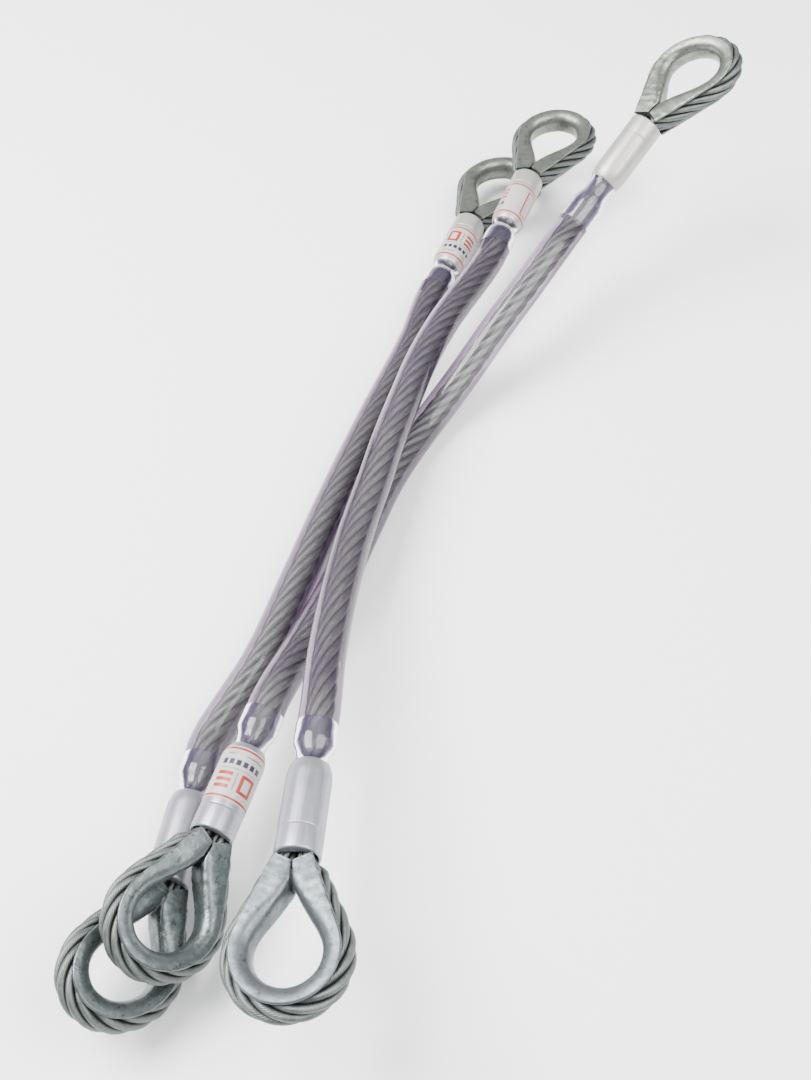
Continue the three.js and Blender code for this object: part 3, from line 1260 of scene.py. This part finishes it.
def signed_area(outline: np.ndarray) -> float:
    """Area inside a closed outline, negative where it runs clockwise."""
    x, y = outline[:, 0], outline[:, 1]
    return float(0.5 * np.sum(x * np.roll(y, -1) - np.roll(x, -1) * y))


LOWER_COLLAR = Collar(sleeve_end=9.5, overlap=8.0, flex_from=9.0)
UPPER_COLLAR = Collar(sleeve_end=13.5, overlap=12.0, flex_from=12.0)
CLOSE_COLLAR = Collar(sleeve_end=7.5, overlap=9.0, flex_from=7.0)


@dataclass
class Sleeve:
    """The clear tube over the rope and the collar at each of its ends."""

    rope: Rope
    outer: float = 7.9
    inner: float = 2.7
    sides: int = 56
    step: float = 2.5
    rounding: float = 0.35

    def build(self, palette: Palette) -> None:
        """Makes the tube and the collars.

        Args:
            palette: The finishes.
        """
        plan = self.rope.plan
        start, stop = (self.rope.at_end(which, -plan.collar(which).sleeve_end) for which in Which)
        stations = np.linspace(start, stop, round((stop - start) / self.step))
        edge = [start, start + self.rounding, stop - self.rounding, stop]
        outside = np.concatenate([edge[:2], stations[1:-1], edge[2:]])
        inside = outside[::-1]
        outer = np.full(len(outside), self.outer)
        inner = np.full(len(inside), self.inner)
        outer[[0, -1]] -= self.rounding
        inner[[0, -1]] += self.rounding
        along = np.concatenate([outside, inside])
        radii = np.concatenate([outer, inner])
        angles = np.tile(circle(self.sides), (len(along), 1))
        rings = self.rope.line.rings(along, np.tile(radii[:, None], (1, self.sides)), angles)
        from_cut = np.minimum(along - start, stop - along)
        tube = Skin(f"{plan.name}_clear_sleeve", rings, from_cut / 10, looped=True).build()
        self.rope.flexes(tube)
        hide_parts(f"{plan.name}_lower_sleeve", f"{plan.name}_upper_sleeve")
        palette.dress(tube, palette.sleeve)
        for which in Which:
            self.collar(palette, which)

    def collar(self, palette: Palette, which: Which) -> None:
        """Makes the collar at one end.

        Args:
            palette: The finishes.
            which: The end that is meant.
        """
        plan = self.rope.plan
        collar = plan.collar(which)
        stem = f"{plan.name}_{which.value}"
        piece = collar.build(f"{stem}_shrunk_collar", plan.end(which))
        plan.flexes_at_neck(piece, which)
        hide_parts(f"{stem}_collar")
        palette.dress(piece, palette.collar)


# ---- the fittings at an end ----------------------------------------------------------


@dataclass
class Ferrule:
    """A pressed aluminium ferrule with a bore for two rope legs.

    Attributes:
        length: From the mouth to the eye side.
        radius: Outer radius.
        mouth: Radius at the mouth.
        bore_width: Half the bore's width at the eye side.
        bore_height: Half the bore's height.
        line: Where the faint line round it is, as a share of the length.
    """

    length: float = EYE.ferrule_length
    radius: float = 8.5
    mouth: float = 7.3
    bore_width: float = 7.2
    bore_height: float = 4.5
    mouth_bore: float = 5.6
    line: float = 0.74
    sides: int = 96

    def outside(self) -> list[tuple[float, float]]:
        """Outline from the mouth to the eye side as distance and radius.

        Returns:
            The outline, open at the bore.
        """
        full, length, line = self.radius, self.length, self.length * self.line
        return [
            (0.0, self.mouth - 0.45), (0.12, self.mouth - 0.12), (0.5, self.mouth + 0.12),
            (1.6, self.mouth + 0.5), (3.0, full - 0.4), (4.4, full - 0.1), (6.0, full),
            (14.0, full - 0.03), (line - 0.6, full), (line - 0.2, full - 0.02), (line, full - 0.14),
            (line + 0.2, full - 0.02), (line + 0.6, full), (length - 1.1, full),
            (length - 0.55, full - 0.08), (length - 0.2, full - 0.28), (length, full - 0.6),
        ]

    def build(self, name: str, end: EndPlace) -> Piece:
        """Makes the ferrule as one skin, outside and bore.

        Args:
            name: Name of the piece.
            end: Where the end lies.

        Returns:
            The piece.
        """
        angles = circle(self.sides)
        across, up = np.cos(angles), np.sin(angles)
        rows = [(along, radius * across, radius * up) for along, radius in self.outside()]
        flat = self.bore_width - self.bore_height
        slot_y = self.bore_height * across + flat * np.clip(across * 6, -1, 1)
        slot_z = self.bore_height * up
        flare = ((self.length, 1.08), (self.length - 0.5, 1.01), (self.length - 4, 1.0), (9.0, 1.0))
        rows += [(along, slot_y * grow, slot_z * grow) for along, grow in flare]
        rows += [(along, self.mouth_bore * across, self.mouth_bore * up) for along in (5.0, 0.0)]
        points = [np.stack([np.full(self.sides, x), y, z], axis=-1) for x, y, z in rows[::-1]]
        along = np.array([row[0] for row in rows[::-1]]) / 10
        return Skin(name, end.out(np.stack(points)), along, looped=True, crease=50).build()


@dataclass
class Thimble:
    """A dipped steel channel bent round the eye, that the rope lies in.

    Attributes:
        half: Half the thickness across the eye.
        depth: From the rope's centre line to the back of the channel.
        groove: Radius of the channel inside.
        lip: How far the lips stand out past the rope's centre line.
        lumps: Height of the uneven zinc.
        parting: Half the gap where the two legs meet.
        squared: From the leg's tip to where the cheeks start and stop being flat.
        deeper: Extra depth of the back at the tips.
        higher: Extra height of the lips at the tips.
        leg: Length from a tip over which the leg keeps to its own side.
    """

    half: float = 6.5
    depth: float = 6.6
    groove: float = 5.05
    lip: float = 0.6
    lumps: float = 0.12
    parting: float = 0.45
    squared: tuple[float, float] = (6.0, 30.0)
    deeper: float = 2.3
    higher: float = 0.9
    leg: float = 24.0
    steps: int = 170

    def section(self, squareness: float) -> np.ndarray:
        """Outline as pairs of distance across the eye and out from it.

        Args:
            squareness: 0 for a round back, 1 for flat cheeks with crisp corners.

        Returns:
            The outline, closed.
        """
        power, depth = 0.8 - 0.42 * squareness, self.depth + self.deeper * squareness
        lip, half, groove = self.lip + self.higher * squareness, self.half, self.groove
        back = []
        for angle in np.linspace(0, math.pi, 31):
            across = math.copysign(abs(math.cos(angle)) ** power, math.cos(angle))
            back.append((half * across, -depth * abs(math.sin(angle)) ** power))
        left = [
            (-half, lip - 0.7), (-half + 0.12, lip - 0.2), (-half + 0.5, lip),
            (-groove - 0.4, lip), (-groove - 0.08, lip - 0.25), (-groove, lip - 0.6),
        ]
        turns = np.linspace(0.12, math.pi - 0.12, 15)
        bottom = [(-groove * math.cos(a), -groove * math.sin(a)) for a in turns]
        right = [(-x, y) for x, y in reversed(left)]
        return np.array(back + left + bottom + right)

    def roughen(self, points: np.ndarray, centres: np.ndarray, near: np.ndarray) -> np.ndarray:
        """Raises the outside of the channel into soft lumps.

        Args:
            points: Points of the channel, section by section.
            centres: The line that the channel follows.
            near: 1 at the tips, 0 round the eye.

        Returns:
            The points with their lumps.
        """
        flat = points.reshape(-1, 3)
        rough = [noise.noise(Vector(p) * 0.33) + 0.5 * noise.noise(Vector(p) * 0.9) for p in flat]
        lift = np.array(rough).reshape(points.shape[:2]) * self.lumps * (0.6 + 1.4 * near)[:, None]
        away = points - centres[:, None]
        reach = np.linalg.norm(away, axis=-1)
        outside = smoothstep(reach, self.groove + 0.2, self.groove + 1.2)
        return points + away / reach[..., None] * (lift * outside - 0.06 * outside)[..., None]

    def build(self, name: str, end: EndPlace) -> Piece:
        """Sweeps the outline round the eye and roughens it a little.

        Args:
            name: Name of the piece.
            end: Where the end lies.

        Returns:
            The piece.
        """
        line = Line(spline(EYE.thimble_points(), 0.4))
        stations = np.linspace(0, line.length, self.steps)
        from_end = np.minimum(stations, line.length - stations)
        centres, tangents = line.frame(stations)
        outwards = np.cross((0.0, 0.0, 1.0), tangents)
        outwards /= np.linalg.norm(outwards, axis=1)[:, None]
        near = 1 - smoothstep(from_end, *self.squared)
        sections = np.array([self.section(share) for share in near])
        across, out = sections[..., 0], sections[..., 1]
        points = centres[:, None] + outwards[:, None] * out[..., None]
        points = points + np.array((0, 0, 1.0)) * across[..., None]
        points = self.roughen(points, centres, near)
        side = np.sign(centres[:, 1])[:, None]
        parted = side * np.maximum(side * points[..., 1], self.parting)
        points[..., 1] = np.where((from_end < self.leg)[:, None], parted, points[..., 1])
        section = sections[self.steps // 2]
        around = running_length(np.vstack([section, section[:1]])) / 10
        return Skin(name, end.out(points), stations / 10, around, crease=50).build()


@dataclass
class Label:
    """A printed film round a ferrule."""

    start: float = 2.4
    stop: float = 25.2
    lift: float = 0.03
    thickness: float = 0.17
    sides: int = 96

    def build(self, name: str, end: EndPlace, turn: float) -> Piece:
        """Makes the film as a thin closed band that follows the ferrule.

        Args:
            name: Name of the piece.
            end: Where the end lies.
            turn: Where the print faces, in degrees about the axis.

        Returns:
            The piece.
        """
        outline = np.array(Ferrule().outside())
        inset = 0.15
        ends = (self.start, self.start + inset, self.stop - inset, self.stop)
        stations = np.array([*ends[:2], 3.0, 4.4, 6.0, 14.0, *ends[2:]])
        base = np.interp(stations, outline[:, 0], outline[:, 1]) + self.lift
        grow = np.full(len(stations), self.thickness)
        grow[[0, -1]] /= 2
        x = np.concatenate([stations, stations[::-1]])
        radius = np.concatenate([base, (base + grow)[::-1]])
        rings = turned(np.stack([x, radius], axis=1), circle(self.sides, turn - 180))
        along = (x - self.start) / (self.stop - self.start)
        return Skin(name, end.out(rings), along, looped=True).build()


@dataclass
class Fittings:
    """The ferrule, thimble and label at one end of a sling."""

    plan: Plan
    which: Which

    def zinc(self, palette: Palette) -> Finish:
        """The thimble's finish: each batch of zinc has its own tone.

        Args:
            palette: The finishes.

        Returns:
            The finish.
        """
        if self.which is Which.UPPER:
            return palette.zinc_warm
        return palette.zinc_pale if self.plan.name == "c" else palette.zinc_dark

    def build(self, palette: Palette) -> None:
        """Makes the fittings and lets them ride with the end.

        Args:
            palette: The finishes.
        """
        end = self.plan.end(self.which)
        stem = f"{self.plan.name}_{self.which.value}"
        ferrule = Ferrule().build(f"{stem}_pressed_ferrule", end)
        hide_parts(f"{stem}_ferrule")
        metal = palette.ferrule_cool if self.which is Which.LOWER else palette.ferrule_warm
        palette.dress(ferrule, metal)
        thimble = Thimble().build(f"{stem}_channel_thimble", end)
        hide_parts(f"{stem}_thimble")
        palette.dress(thimble, self.zinc(palette))
        made = [ferrule, thimble]
        if self.plan.label is self.which:
            label = Label().build(f"{self.plan.name}_printed_label", end, self.plan.label_turn)
            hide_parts(f"{self.plan.name}_label")
            palette.dress(label, palette.label)
            made.append(label)
        for piece in made:
            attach(piece, f"{stem}_end")


@dataclass
class Sling:
    """One complete sling."""

    plan: Plan

    def build(self, palette: Palette) -> None:
        """Makes the rope first, then what is on it.

        Args:
            palette: The finishes.
        """
        rope = Rope(self.plan)
        rope.build(palette)
        log.info("sling %s: rope of %.0f mm laid", self.plan.name, rope.line.length)
        Sleeve(rope).build(palette)
        log.info("sling %s: sleeve and collars shrunk on", self.plan.name)
        for which in Which:
            Fittings(self.plan, which).build(palette)
            log.info("sling %s: %s fittings pressed on", self.plan.name, which.value)


# ---- the studio ----------------------------------------------------------------------


@dataclass
class Studio:
    """Camera, floor and soft light."""

    position: Point = (-0.0246, -0.3714, 0.4666)
    pitch: float = 53.22
    lens: float = 28.222
    sensor: float = 24.0

    def camera(self) -> None:
        """Sets up the camera."""
        data = bpy.data.cameras.new("camera")
        data.sensor_fit = "VERTICAL"
        data.sensor_height = self.sensor
        data.lens = self.lens
        data.clip_start = 0.01
        camera = bpy.data.objects.new("camera", data)
        camera.location = self.position
        camera.rotation_euler = Euler((math.radians(90 - self.pitch), 0, 0))
        bpy.context.scene.collection.objects.link(camera)
        bpy.context.scene.camera = camera

    def floor(self) -> None:
        """Lays a plain pale floor."""
        mesh = bpy.data.meshes.new("floor")
        size = 6.0
        corners = [(-size, -size, 0), (size, -size, 0), (size, size, 0), (-size, size, 0)]
        mesh.from_pydata(corners, [], [(0, 1, 2, 3)])
        floor = bpy.data.objects.new("floor", mesh)
        bpy.context.scene.collection.objects.link(floor)
        floor.data.materials.append(Finish("floor_paint", (0.9, 0.9, 0.9), 0.7).build())

    def light(self, name: str, place: Point, size: float, power: float) -> None:
        """Adds a soft square light that points at the middle of the floor.

        Args:
            name: Name of the light.
            place: Where it hangs.
            size: Side of the square.
            power: Watts.
        """
        data = bpy.data.lights.new(name, "AREA")
        data.size, data.energy = size, power
        lamp = bpy.data.objects.new(name, data)
        lamp.location = place
        lamp.rotation_euler = (-Vector(place)).to_track_quat("-Z", "Y").to_euler()
        bpy.context.scene.collection.objects.link(lamp)

    def lights(self) -> None:
        """Hangs the lights and sets a pale sky."""
        self.light("key", (-0.75, 0.15, 1.15), 0.9, 70.0)
        self.light("fill", (0.8, -0.3, 1.2), 1.2, 42.0)
        world = bpy.data.worlds.new("studio")
        bpy.context.scene.world = world
        world.use_nodes = True
        background = world.node_tree.nodes["Background"]
        background.inputs["Color"].default_value = (0.94, 0.96, 1.0, 1.0)
        background.inputs["Strength"].default_value = 0.75


def main() -> None:
    """Builds the studio and the three slings."""
    logging.basicConfig(level=logging.INFO, format="%(message)s")
    studio = Studio()
    studio.camera()
    palette = Palette()
    for plan in PLANS:
        Sling(plan).build(palette)
    studio.floor()
    studio.lights()
    log.info("studio set")


if __name__ == "__main__":
    main()
